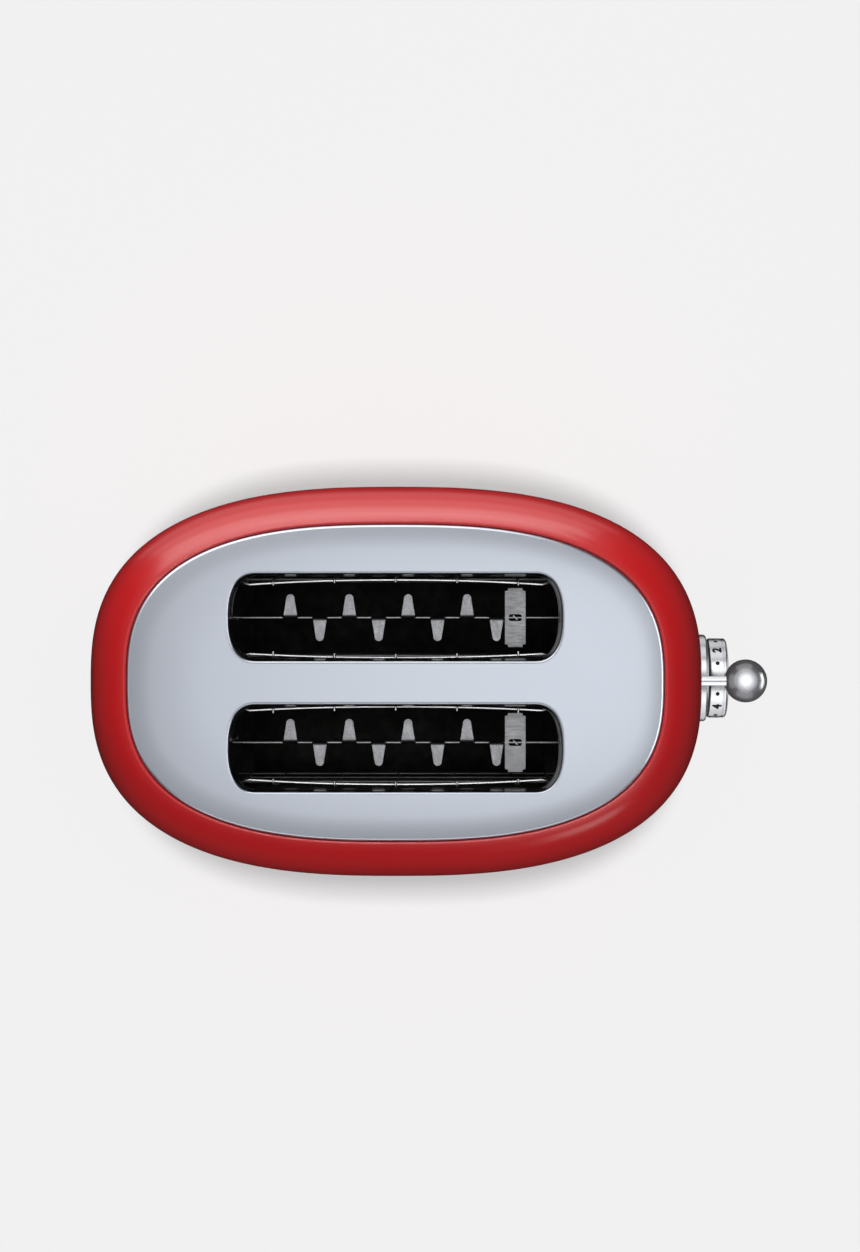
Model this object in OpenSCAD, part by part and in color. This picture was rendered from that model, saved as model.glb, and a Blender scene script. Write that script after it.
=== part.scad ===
// Two-slot pop-up toaster: painted oval shell, silver top plate, ball lever and dial at the control end.
// +X points to the control end, +Z is up, and left and right are as seen from the control end.
// Z = 0 is the table. X = 0 is midway between the rear gland and the lever ball.

/* [Body] */
// Length of the painted shell, rear end to control end
body_len = 306; // [304:1:310]
// Width of the painted shell
body_wid = 195; // [193:1:199]
// Height from the table to the top of the plate
body_ht = 198; // [196:1:200]
// Outline of the shell: 2 is an ellipse, and larger is squarer
squareness = 2.63; // [2.55:0.01:2.75]

/* [Top plate and bread slots] */
// Length of the top plate
plate_len = 263; // [260:1:265]
// Width of the top plate
plate_wid = 155; // [153:1:157]
// Outline of the plate: 2 is an ellipse, and larger is squarer
plate_squareness = 2.7; // [2.6:0.01:2.8]
// Length of a bread slot
slot_len = 163; // [160:1:164]
// Width of a bread slot
slot_wid = 42.7; // [42.3:0.1:44]
// Corner radius of a bread slot
slot_corner = 12.7; // [8:0.1:14]
// Distance between the centres of the two slots
slot_spacing = 64; // [63:0.5:66]

/* [Carriage] */
// Height of the bread racks when the lever is up
rack_z = 128; // [126:1:130]
// How far the lever and the racks go down
lever_travel = 47; // [40:1:47]
// Distance between neighbouring teeth of a rack
tooth_pitch = 15.1; // [14:0.1:16]
// How far a tooth reaches out from the rack
tooth_reach = 12; // [8:0.5:13]
// Diameter of the wires of the bread guides
wire_d = 1.8; // [1.4:0.1:2]

/* [Control end] */
// Height of the lever when it is up
lever_z = 151; // [151:1:152]
// Diameter of the lever arm
arm_d = 4.9; // [4:0.1:5]
// Diameter of the ball on the lever
ball_d = 21.7; // [18:0.1:22]
// Height of the dial's axis
knob_z = 70; // [69:1:70]
// Diameter of the dial
knob_d = 42.2; // [38:0.1:42.4]
// Diameter of a push button
button_d = 9; // [7:0.5:9]
// Distance between neighbouring push buttons
button_spacing = 20; // [18:1:22]

/* [Hidden] */
$fn = 48;

// Where things stand, measured from the body's own centre
body_x = -16;
slot_y = slot_spacing / 2;
plate_inset_x = (body_len - plate_len) / 2;
plate_inset_y = (body_wid - plate_wid) / 2;
end_x = body_len / 2;
foot_h = 6;
cover_h = 2.5;
cover_top = foot_h + cover_h;
shell_z0 = 20;
shoulder_z = 158;
shell_top = body_ht - 2.5;
chassis_z = 24;
sheet = 1.5;
chassis_top = chassis_z + sheet;
foot_x = 105;
foot_y = 52;
post_x = 90;
post_y = 65.5;

// Toasting chamber
frame_x = 85.5;
frame_t = 1;
frame_front = frame_x + frame_t;
frame_y = 64;
frame_top = 184;
board_off = 24.5;
board_t = 0.6;
ribbon_t = 0.3;
ribbon_rows = 10;
guide_off = 19.5;
guide_foot_z = 62;
guide_top_z = 181;
pivot_r = 1.1;
pivot_gap = 0.1;
weld_off = 1;

// Carriage and its drive
strip_t = 1;
strip_h = 10;
teeth = 8;
tooth_x0 = -54.7;
saddle_x = 60.6;
saddle_size = [10.9, 30.6, 1];
bracket_x = 90.5;
guide_rod_x = 102;
guide_rod_r = 3;
guide_rod_top = 176;
bush_r = 5;
bracket_low = 116;
bracket_top = 146;
shelf_z = 126;
shelf_y = 9;
front_x = 112;
armature_t = 5;
armature_z = shelf_z - armature_t;
core_top = armature_z - lever_travel - 0.3;
spring_turns = 12;
spring_r = 4.6;
spring_wire_r = 0.6;

// Control end
ball_x = 175.9;
board_x = 130;
board_side = 1.6;
bezel_r = 23.15;
bezel_front = 163.6;
knob_back = 164.6;
knob_front = 174.3;
spindle_r = 3;
button_z = 34;
button_front = 155.5;
button_travel = 2;
gland_z = 36;
gland_back = -154.8;
gland_bore_r = 3.6;
tray_y = 57.5;
tray_z = 10.5;

// Outline of an oval with half-length a, half-width b and squareness n
function oval(a, b, n, count) = [
    for (i = [0:count - 1])
        let (t = 360 * i / count, c = cos(t), s = sin(t))
            [a * sign(c) * pow(abs(c), 2 / n), b * sign(s) * pow(abs(s), 2 / n)]];

// Outline of the shell at a depth f, from 0 at its widest to 1 at the edge of the top plate
function ring(f, count) = oval(
    body_len / 2 - f * plate_inset_x, body_wid / 2 - f * plate_inset_y,
    squareness + f * (plate_squareness - squareness), count);

// How far the shell's widest outline stands out sideways at a distance x along the body
function wall_y(x) = body_wid / 2 * pow(1 - pow(abs(x) / end_x, squareness), 1 / squareness);

module in_frame() {
    translate([body_x, 0, 0]) children();
}

// A closed band: the section, a loop of [depth, height] pairs, carried round the oval
module oval_band(section, count) {
    rows = len(section);
    band_points = [for (p = section) for (q = ring(p[0], count)) [q[0], q[1], p[1]]];
    band_faces = [
        for (r = [0:rows - 1]) for (i = [0:count - 1])
            let (j = (i + 1) % count, up = (r + 1) % rows)
                for (face = [
                    [r * count + i, up * count + j, r * count + j],
                    [r * count + i, up * count + i, up * count + j]]) face];
    polyhedron(points = band_points, faces = band_faces);
}

module oval_plate(a, b, n, z0, z1) {
    translate([0, 0, z0]) linear_extrude(z1 - z0) polygon(oval(a, b, n, 96));
}

// A box from its lowest to its highest corner
module block(low, high) {
    translate(low) cube(high - low);
}

module rod_x(x0, x1, y, z, r) {
    translate([x0, y, z]) rotate([0, 90, 0]) cylinder(h = x1 - x0, r = r);
}

module rod_z(x, y, z0, z1, r) {
    translate([x, y, z0]) cylinder(h = z1 - z0, r = r);
}

// A bread slot's outline, grown by the margin on every side
module slot_outline(margin) {
    half_x = slot_len / 2 - slot_corner;
    half_y = slot_wid / 2 - slot_corner;
    square([2 * half_x, slot_wid + 2 * margin], center = true);
    square([slot_len + 2 * margin, 2 * half_y], center = true);
    for (sx = [-1, 1]) for (sy = [-1, 1])
        translate([sx * half_x, sy * half_y]) circle(r = slot_corner + margin);
}

// ---------- Outer shells ----------

module shell_band() {
    steps = 6;
    outer_sweep = 77;
    inner_sweep = 72;
    outer_wall = [[0.16, shell_z0], [0.09, shell_z0 + 2.5], [0.05, 45], [0.015, 80], [0, 120]];
    outer_shoulder = [for (k = [0:steps]) let (t = outer_sweep * k / steps)
        [1.2 * (1 - cos(t)), shoulder_z + (shell_top - shoulder_z) * sin(t) / sin(outer_sweep)]];
    lip = [
        [0.95, shell_top - 0.5], [0.98, shell_top - 1.8], [0.985, shell_top - 6],
        [0.93, shell_top - 6], [0.93, shell_top - 3]];
    inner_shoulder = [for (k = [steps:-2:0]) let (t = inner_sweep * k / steps)
        [0.1 + 1.1 * (1 - cos(t)), shoulder_z + (shell_top - 3.1 - shoulder_z) * sin(t) / sin(inner_sweep)]];
    inner_wall = [[0.085, 110], [0.16, shell_z0 + 3], [0.23, shell_z0]];
    oval_band(concat(outer_wall, outer_shoulder, lip, inner_shoulder, inner_wall), 64);
}

module body_shell() {
    slot_half = 6;
    slot_low = lever_z - lever_travel - slot_half;
    slot_high = lever_z + slot_half + 1;
    in_frame() color("crimson") difference() {
        shell_band();
        block([end_x - 20, -slot_half, slot_low], [end_x + 10, slot_half, slot_high]);
        rod_x(end_x - 20, end_x + 10, 0, knob_z, bezel_r + 0.1);
        for (k = [-1:1]) rod_x(end_x - 20, end_x + 10, k * button_spacing, button_z, button_d / 2 + 1.8);
        rod_x(-end_x - 10, -end_x + 20, 0, gland_z, 6.1);
    }
}

module top_plate() {
    a = plate_len / 2;
    b = plate_wid / 2;
    rim = 1.2;
    in_frame() color("silver") difference() {
        union() {
            oval_plate(a - 0.8, b - 0.8, plate_squareness, body_ht - 1, body_ht);
            oval_plate(a, b, plate_squareness, body_ht - 4.5, body_ht - 0.8);
        }
        oval_plate(a - rim, b - rim, plate_squareness, body_ht - 5, body_ht - 1.6);
        for (side = [-1, 1]) translate([0, side * slot_y, body_ht - 6])
            linear_extrude(8) slot_outline(0);
    }
}

// Collar round the mouth of one bread slot, under the top plate
module slot_liner(side) {
    in_frame() color([0.08, 0.08, 0.09]) translate([0, side * slot_y, frame_top + 0.5])
        linear_extrude(body_ht - 1.6 - frame_top - 0.5) difference() {
            slot_outline(0.9);
            slot_outline(0);
        }
}

// Row of plain bars on each long side
module side_trim() {
    bars = 5;
    bar = [6, 1.3, 8];
    pitch = 31;
    gap = 0.15;
    in_frame() color("gainsboro") for (side = [-1, 1]) for (k = [0:bars - 1]) {
        x = (k - (bars - 1) / 2) * pitch;
        turn = atan(wall_y(x + 0.5) - wall_y(x - 0.5));
        translate([x, side * wall_y(x), 130]) rotate([0, 0, side * turn])
            translate([0, side * (gap + bar[1] / 2), 0]) cube(bar, center = true);
    }
}

module base_plinth() {
    a = end_x - 7;
    b = body_wid / 2 - 6.5;
    in_frame() color("silver") difference() {
        oval_plate(a, b, squareness, cover_top, shell_z0 - 0.3);
        oval_plate(a - 1.5, b - 1.5, squareness, cover_top - 1, shell_z0 + 1);
        block([-end_x - 10, -tray_y - 1.5, tray_z - 1], [-100, tray_y + 1.5, tray_z + 8]);
    }
}

module bottom_cover() {
    in_frame() color([0.1, 0.1, 0.1]) difference() {
        oval_plate(end_x - 6, body_wid / 2 - 5.5, squareness, foot_h, cover_top);
        for (sx = [-1, 1]) for (sy = [-1, 1]) rod_z(sx * foot_x, sy * foot_y, 0, 20, 1.6);
        for (k = [-6:6]) for (sy = [-1, 1])
            block([k * 12 - 2, sy * 48 - 14, 0], [k * 12 + 2, sy * 48 + 14, 20]);
    }
}

module rubber_feet() {
    in_frame() color([0.15, 0.15, 0.15]) for (sx = [-1, 1]) for (sy = [-1, 1])
        translate([sx * foot_x, sy * foot_y, 0]) difference() {
            cylinder(h = foot_h, r1 = 8, r2 = 9);
            translate([0, 0, -1]) cylinder(h = 4, r = 4);
            cylinder(h = 10, r = 1.6);
        }
}

module foot_screws() {
    in_frame() color("gray") for (sx = [-1, 1]) for (sy = [-1, 1])
        translate([sx * foot_x, sy * foot_y, 1.2]) difference() {
            union() {
                cylinder(h = 1.7, r = 3.2);
                cylinder(h = cover_top - 0.2, r = 1.5);
            }
            translate([-0.5, -3, -0.2]) cube([1, 6, 1]);
        }
}

module cord_gland() {
    in_frame() color([0.1, 0.1, 0.1]) difference() {
        union() {
            rod_x(gland_back, gland_back + 2.4, 0, gland_z, 9);
            rod_x(gland_back, -142, 0, gland_z, 6);
        }
        rod_x(gland_back - 5, -130, 0, gland_z, gland_bore_r);
    }
}

module gland_nut() {
    in_frame() color([0.2, 0.2, 0.2]) difference() {
        translate([-147, 0, gland_z]) rotate([0, 90, 0]) cylinder(h = 3, r = 9, $fn = 6);
        rod_x(-150, -140, 0, gland_z, 6);
    }
}

// Dark plate behind the lever's slot in the shell
module lever_slot_guard() {
    in_frame() color([0.05, 0.05, 0.05]) difference() {
        block([148.2, -14, 96.5], [149.7, 14, 164]);
        block([140, -3.2, lever_z - lever_travel - 4], [160, 3.2, lever_z + 4]);
    }
}

// ---------- Dial and push buttons ----------

// Turned part about the X axis: the section is a list of [radius, x] pairs
module turned(section, y, z) {
    translate([0, y, z]) rotate([0, 90, 0]) rotate_extrude($fn = 72) polygon(section);
}

module knob_bezel() {
    in_frame() color("gainsboro") turned([
        [21, 147], [25.5, 147], [25.5, 148.6], [bezel_r, 148.6], [bezel_r, bezel_front - 1],
        [bezel_r - 1, bezel_front], [12, bezel_front], [12, bezel_front - 2.4], [21, bezel_front - 2.4]],
        0, knob_z);
}

module control_knob() {
    r = knob_d / 2;
    in_frame() color("gainsboro") turned([
        [spindle_r, knob_back], [r - 0.8, knob_back], [r, knob_back + 0.8],
        [r, knob_front - 1.5], [r - 1.5, knob_front], [5, knob_front], [0, knob_front],
        [0, knob_front - 5], [spindle_r, knob_front - 5]], 0, knob_z);
}

module knob_hub() {
    in_frame() color([0.08, 0.08, 0.08]) turned([
        [spindle_r, bezel_front + 0.5], [19.5, bezel_front + 0.5], [19.5, knob_back],
        [spindle_r, knob_back]], 0, knob_z);
}

module knob_spindle() {
    in_frame() color("silver") rod_x(board_x + 3, knob_front - 5, 0, knob_z, spindle_r);
}

module potentiometer() {
    in_frame() color("darkslategray") difference() {
        union() {
            rod_x(board_x + board_side, board_x + 9, 0, knob_z, 8.5);
            rod_x(board_x + 9, board_x + 15, 0, knob_z, 4.5);
        }
        rod_x(board_x + board_side + 1, board_x + 20, 0, knob_z, spindle_r + 0.05);
    }
}

module button_bezels() {
    r = button_d / 2;
    in_frame() color("gainsboro") for (k = [-1:1]) turned([
        [r + 0.4, 145.5], [r + 3, 145.5], [r + 3, 146.7], [r + 1.7, 146.7], [r + 1.7, 153.2],
        [r + 1.2, 153.7], [r + 0.4, 153.7]], k * button_spacing, button_z);
}

module push_button(k) {
    r = button_d / 2;
    in_frame() color("silver") turned([
        [0, board_x + 7.5], [2, board_x + 7.5], [2, 146], [r, 146], [r, button_front - 0.7],
        [r - 0.7, button_front], [0, button_front]], k * button_spacing, button_z);
}

module tact_switches() {
    in_frame() color([0.2, 0.2, 0.2]) for (k = [-1:1]) {
        y = k * button_spacing;
        block([board_x + board_side, y - 3, button_z - 3], [board_x + 4.5, y + 3, button_z + 3]);
        rod_x(board_x + 4.5, board_x + 5.4, y, button_z, 1.7);
    }
}

// ---------- Chassis and toasting chamber ----------

module chassis_base() {
    in_frame() color("lightgray") translate([0, 0, chassis_z]) linear_extrude(sheet) difference() {
        polygon([
            [-134, -46], [-98, -70], [98, -70], [136, -46], [136, 46], [98, 70], [-98, 70],
            [-134, 46]]);
        square([160, 110], center = true);
    }
}

module chassis_posts() {
    in_frame() color("gray") for (sx = [-1, 1]) for (sy = [-1, 1])
        rod_z(sx * post_x, sy * post_y, cover_top, chassis_z, 3.5);
}

// End wall of the toasting chamber, slotted for the racks and drilled for the guides
module end_frame(end) {
    x0 = end > 0 ? frame_x : -frame_front;
    slot_low = rack_z - strip_h - lever_travel - 2;
    in_frame() color("lightgray") difference() {
        block([x0, -frame_y, chassis_top], [x0 + frame_t, frame_y, frame_top]);
        for (side = [-1, 1]) {
            block([x0 - 1, side * slot_y - 1, slot_low], [x0 + 2, side * slot_y + 1, rack_z + 2]);
            for (wall = [-1, 1])
                rod_x(x0 - 1, x0 + 2, side * slot_y + wall * guide_off, guide_foot_z,
                    pivot_r + pivot_gap);
        }
    }
}

module side_reflector(side) {
    y = side * 62;
    in_frame() color("whitesmoke")
        block([-frame_x, y - 0.25, 40], [frame_x, y + 0.25, frame_top]);
}

module centre_divider() {
    in_frame() color("whitesmoke") block([-frame_x, -0.25, 60], [frame_x, 0.25, frame_top]);
}

// The two mica boards that face one bread slot
module heater_boards(side) {
    in_frame() color("tan") for (wall = [-1, 1]) {
        y = side * slot_y + wall * board_off;
        block([-frame_x, y - board_t / 2, 66], [frame_x, y + board_t / 2, 178]);
    }
}

// Flat heating ribbons on the bread side of the two boards
module heating_ribbons(side) {
    in_frame() color("dimgray") for (wall = [-1, 1]) for (k = [0:ribbon_rows - 1]) {
        face = side * slot_y + wall * (board_off - board_t / 2);
        z = 76 + k * 10;
        block([-74, min(face, face - wall * ribbon_t), z],
            [74, max(face, face - wall * ribbon_t), z + 2]);
    }
}

// ---------- Carriage ----------

// One bent tooth, lying flat, its root at the origin and pointing along +Y
module rack_tooth() {
    root_half = 3.5;
    tip_r = 2.2;
    linear_extrude(1) {
        polygon([
            [-root_half, 0], [root_half, 0], [tip_r, tooth_reach - tip_r],
            [-tip_r, tooth_reach - tip_r]]);
        translate([0, tooth_reach - tip_r]) circle(r = tip_r, $fn = 24);
    }
}

module bread_rack(side) {
    in_frame() color("darkgray") translate([0, side * slot_y, 0]) {
        block([-frame_x - 4.5, -strip_t / 2, rack_z - strip_h], [bracket_x, strip_t / 2, rack_z]);
        for (k = [0:teeth - 1]) translate([tooth_x0 + k * tooth_pitch, 0, rack_z - 1])
            rotate([0, 0, k % 2 == 0 ? 0 : 180]) rack_tooth();
    }
}

// Wide plate riveted on the control end of a rack
module rack_saddle(side) {
    notch = 1.3;
    in_frame() color("darkgray") translate([saddle_x, side * slot_y, rack_z]) linear_extrude(1)
        difference() {
            square([saddle_size[0], saddle_size[1]], center = true);
            for (sx = [-1, 1]) for (sy = [-1, 1])
                translate([sx * saddle_size[0] / 2, sy * saddle_size[1] / 2])
                    square(2 * notch, center = true);
            square([5.5, 1.4], center = true);
        }
}

module carriage_bracket() {
    in_frame() color("lightgray") difference() {
        union() {
            block([bracket_x, -37, bracket_low], [bracket_x + sheet, 37, bracket_top]);
            block([bracket_x, -shelf_y, shelf_z], [126, shelf_y, shelf_z + sheet]);
            block([bracket_x, -shelf_y, bracket_top - sheet], [front_x + sheet, shelf_y, bracket_top]);
            block([front_x, -shelf_y, shelf_z], [front_x + sheet, shelf_y, lever_z + 7]);
        }
        rod_z(guide_rod_x, 0, 100, 170, bush_r);
    }
}

module carriage_bush() {
    in_frame() color("ivory") difference() {
        rod_z(guide_rod_x, 0, shelf_z, bracket_top, bush_r);
        rod_z(guide_rod_x, 0, 100, 170, guide_rod_r + 0.06);
    }
}

module armature() {
    in_frame() color("gray") block([113, -7, armature_z], [125, 7, shelf_z]);
}

module lever_arm() {
    in_frame() color("gainsboro")
        rod_x(front_x + sheet, ball_x - ball_d / 2 + 4, 0, lever_z, arm_d / 2);
}

module lever_ball() {
    in_frame() color("gainsboro") difference() {
        translate([ball_x, 0, lever_z]) sphere(d = ball_d, $fn = 64);
        rod_x(ball_x - ball_d, ball_x - ball_d / 2 + 4, 0, lever_z, arm_d / 2);
    }
}

// Welded wire grid beside a slice; wall is the side of the slot that it hangs on
module bread_guide(side, wall) {
    y = side * slot_y + wall * guide_off;
    back_y = y + wall * weld_off;
    wire_r = wire_d / 2;
    in_frame() color("silver") {
        rod_x(-frame_front - 1, frame_front + 1, y, guide_foot_z, pivot_r);
        for (z = [100, 140, guide_top_z]) rod_x(-72, 72, y, z, wire_r);
        for (k = [-2:2])
            rod_z(k * 2 * tooth_pitch, back_y, guide_foot_z - 1, guide_top_z + 0.6, wire_r - 0.2);
    }
}

// ---------- Lift and latch ----------

module guide_rod() {
    in_frame() color("silver") rod_z(guide_rod_x, 0, chassis_top, guide_rod_top, guide_rod_r);
}

module rod_bridge() {
    in_frame() color("lightgray") difference() {
        union() {
            block([frame_front, -10, guide_rod_top - 2], [guide_rod_x + 7, 10, guide_rod_top]);
            block([frame_front, -10, guide_rod_top - 14], [frame_front + 1, 10, guide_rod_top]);
        }
        rod_z(guide_rod_x, 0, guide_rod_top - 20, guide_rod_top + 5, guide_rod_r);
    }
}

// Compression spring round the guide rod: one ring of wire for each turn, joined by two stays
module lift_spring() {
    z0 = chassis_top + 0.2;
    z1 = shelf_z - 0.2;
    pitch = (z1 - z0 - 2 * spring_wire_r) / spring_turns;
    in_frame() color("gray") translate([guide_rod_x, 0, z0 + spring_wire_r]) {
        for (k = [0:spring_turns]) translate([0, 0, k * pitch])
            rotate_extrude() translate([spring_r, 0]) circle(r = spring_wire_r, $fn = 16);
        for (a = [0, 180]) rotate([0, 0, a]) translate([spring_r, 0, 0])
            cylinder(h = spring_turns * pitch, r = 0.4, $fn = 16);
    }
}

module magnet_bracket() {
    in_frame() color("lightgray") block([110, -12, chassis_top], [127.5, 12, 35]);
}

module magnet_core() {
    in_frame() color("gray") block([115, -6, 35], [123, 6, core_top]);
}

module magnet_coil() {
    in_frame() color("chocolate") difference() {
        block([112.5, -9, 42], [125.5, 9, core_top - 4]);
        block([115, -6, 30], [123, 6, core_top]);
    }
}

module main_switch() {
    plunger_top = bracket_low - lever_travel - 0.3;
    in_frame() color([0.2, 0.2, 0.25]) {
        block([88, 18, chassis_top], [100, 30, plunger_top - 4]);
        rod_z(91.5, 24, plunger_top - 5, plunger_top, 1.5);
    }
}

// ---------- Electrics ----------

module control_board() {
    in_frame() color("darkgreen")
        block([board_x, -46, chassis_top], [board_x + board_side, 46, 92]);
}

module board_components() {
    x0 = board_x + board_side;
    in_frame() color([0.15, 0.2, 0.3]) {
        block([x0, 26, 58], [x0 + 7, 42, 84]);
        block([x0, -40, 66], [x0 + 5, -28, 84]);
        for (z = [40, 52]) rod_x(x0, x0 + 8, -36, z, 4);
        rod_x(x0, x0 + 6, 34, 42, 5);
    }
}

module terminal_block() {
    in_frame() color("ivory") difference() {
        block([-126, 12, chassis_top], [-108, 42, 38]);
        for (k = [0:2]) {
            rod_z(-117, 18 + 9 * k, 32, 45, 2);
            rod_x(-130, -100, 18 + 9 * k, 30, 1.6);
        }
    }
}

// ---------- Crumb tray ----------

module tray_rails() {
    in_frame() color([0.12, 0.12, 0.12]) for (side = [-1, 1])
        block([-84, side * 60 - 0.75, cover_top], [84, side * 60 + 0.75, shell_z0 - 1]);
}

// Tray outline: the plinth's curve at the rear, square at the front, shrunk by the margin
module tray_outline(margin) {
    intersection() {
        polygon(oval(end_x - 11.5 - margin, body_wid / 2 - 11 - margin, squareness, 96));
        translate([-150, -tray_y + margin]) square([150 + 84 - margin, 2 * (tray_y - margin)]);
    }
}

module crumb_tray() {
    wall = 0.8;
    in_frame() color("lightgray") difference() {
        translate([0, 0, tray_z]) linear_extrude(6.5) tray_outline(0);
        translate([0, 0, tray_z + wall]) linear_extrude(10) tray_outline(wall);
    }
}

module tray_handle() {
    a = end_x - 7;
    b = body_wid / 2 - 6.5;
    back_a = end_x - 11.5;
    back_b = body_wid / 2 - 11;
    in_frame() color("silver") {
        intersection() {
            difference() {
                oval_plate(a, b, squareness, tray_z - 0.7, tray_z + 7.7);
                oval_plate(back_a, back_b, squareness, 0, 40);
            }
            block([-end_x - 5, -tray_y - 1, 0], [-100, tray_y + 1, 40]);
        }
        intersection() {
            difference() {
                oval_plate(a + 4, b + 4, squareness, tray_z - 0.7, tray_z + 1.5);
                oval_plate(a - 1, b - 1, squareness, 0, 40);
            }
            block([-end_x - 5, -28, 0], [-100, 28, 40]);
        }
    }
}

body_shell();
top_plate();
slot_liner(-1);  // slot_liner_left
slot_liner(1);  // slot_liner_right
side_trim();
base_plinth();
bottom_cover();
rubber_feet();
foot_screws();
cord_gland();
gland_nut();
lever_slot_guard();
knob_bezel();
button_bezels();
chassis_base();
chassis_posts();
end_frame(1);  // end_frame_front
end_frame(-1);  // end_frame_rear
side_reflector(-1);  // side_reflector_left
side_reflector(1);  // side_reflector_right
centre_divider();
heater_boards(-1);  // heater_boards_left
heater_boards(1);  // heater_boards_right
heating_ribbons(-1);  // heating_ribbons_left
heating_ribbons(1);  // heating_ribbons_right
guide_rod();
rod_bridge();
lift_spring();
magnet_bracket();
magnet_core();
magnet_coil();
main_switch();
control_board();
board_components();
potentiometer();
tact_switches();
terminal_block();
tray_rails();
bread_rack(-1);  // bread_rack_left
bread_rack(1);  // bread_rack_right
rack_saddle(-1);  // rack_saddle_left
rack_saddle(1);  // rack_saddle_right
carriage_bracket();
carriage_bush();
armature();
lever_arm();
lever_ball();
bread_guide(-1, -1);  // guide_left_outer
bread_guide(-1, 1);  // guide_left_inner
bread_guide(1, -1);  // guide_right_inner
bread_guide(1, 1);  // guide_right_outer
control_knob();
knob_hub();
knob_spindle();
push_button(-1);  // button_stop
push_button(0);  // button_reheat
push_button(1);  // button_defrost
crumb_tray();
tray_handle();
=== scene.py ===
import math

import bmesh
import bpy
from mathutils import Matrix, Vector


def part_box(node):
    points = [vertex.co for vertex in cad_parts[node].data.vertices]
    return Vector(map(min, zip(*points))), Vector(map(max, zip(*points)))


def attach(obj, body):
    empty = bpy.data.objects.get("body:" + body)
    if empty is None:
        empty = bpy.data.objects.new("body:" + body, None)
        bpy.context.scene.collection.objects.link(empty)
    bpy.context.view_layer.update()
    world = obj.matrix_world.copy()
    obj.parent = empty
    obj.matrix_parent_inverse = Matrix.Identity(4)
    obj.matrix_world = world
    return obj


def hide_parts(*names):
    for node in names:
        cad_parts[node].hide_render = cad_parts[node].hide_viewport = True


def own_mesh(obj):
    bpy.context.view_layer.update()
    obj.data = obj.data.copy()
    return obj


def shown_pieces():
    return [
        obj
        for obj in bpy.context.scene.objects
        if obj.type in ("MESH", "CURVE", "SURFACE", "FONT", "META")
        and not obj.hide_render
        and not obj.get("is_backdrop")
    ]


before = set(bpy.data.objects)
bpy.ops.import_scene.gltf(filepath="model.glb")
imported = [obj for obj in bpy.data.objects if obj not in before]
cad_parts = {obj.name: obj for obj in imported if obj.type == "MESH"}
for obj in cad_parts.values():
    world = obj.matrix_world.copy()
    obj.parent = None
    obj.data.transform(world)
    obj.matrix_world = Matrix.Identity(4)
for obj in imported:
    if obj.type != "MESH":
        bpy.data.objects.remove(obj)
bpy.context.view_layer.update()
scene = bpy.context.scene

# Shapes are written in millimetres from the body's own centre, and placed by the CAD's top plate.
MM = 0.001
plate_low, plate_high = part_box("top_plate")
shell_low, shell_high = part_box("body_shell")
ball_low, ball_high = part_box("lever_ball")
knob_low, knob_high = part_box("control_knob")
BODY_X = (plate_low.x + plate_high.x) / 2
PLATE_TOP = plate_high.z / MM
PLATE_A = (plate_high.x - plate_low.x) / 2 / MM
PLATE_B = (plate_high.y - plate_low.y) / 2 / MM
SHELL_A = (BODY_X - shell_low.x) / MM
SHELL_B = shell_high.y / MM
SHELL_TOP = shell_high.z / MM
SHELL_LOW = shell_low.z / MM
SQUARENESS = 2.63
PLATE_SQUARENESS = 2.7
SLOT_Y = 32
LEVER_Z = (ball_low.z + ball_high.z) / 2 / MM
BALL_X = ((ball_low.x + ball_high.x) / 2 - BODY_X) / MM
KNOB_Z = (knob_low.z + knob_high.z) / 2 / MM
LEVER_TRAVEL = 47
AROUND = 288


def spot(point):
    return Vector((point[0] * MM + BODY_X, point[1] * MM, point[2] * MM))


def extent(node):
    """The sides of a CAD node's box in this script's millimetres: x0, x1, y0, y1, z0, z1."""
    low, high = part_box(node)
    return ((low.x - BODY_X) / MM, (high.x - BODY_X) / MM, low.y / MM, high.y / MM, low.z / MM, high.z / MM)


# ---------- Materials ----------

EVEN = (1, 1, 1)
CELLS = "ShaderNodeTexVoronoi"
SOCKETS = {"coat_weight": "Coat Weight", "coat_roughness": "Coat Roughness", "specular": "Specular IOR Level"}


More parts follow.
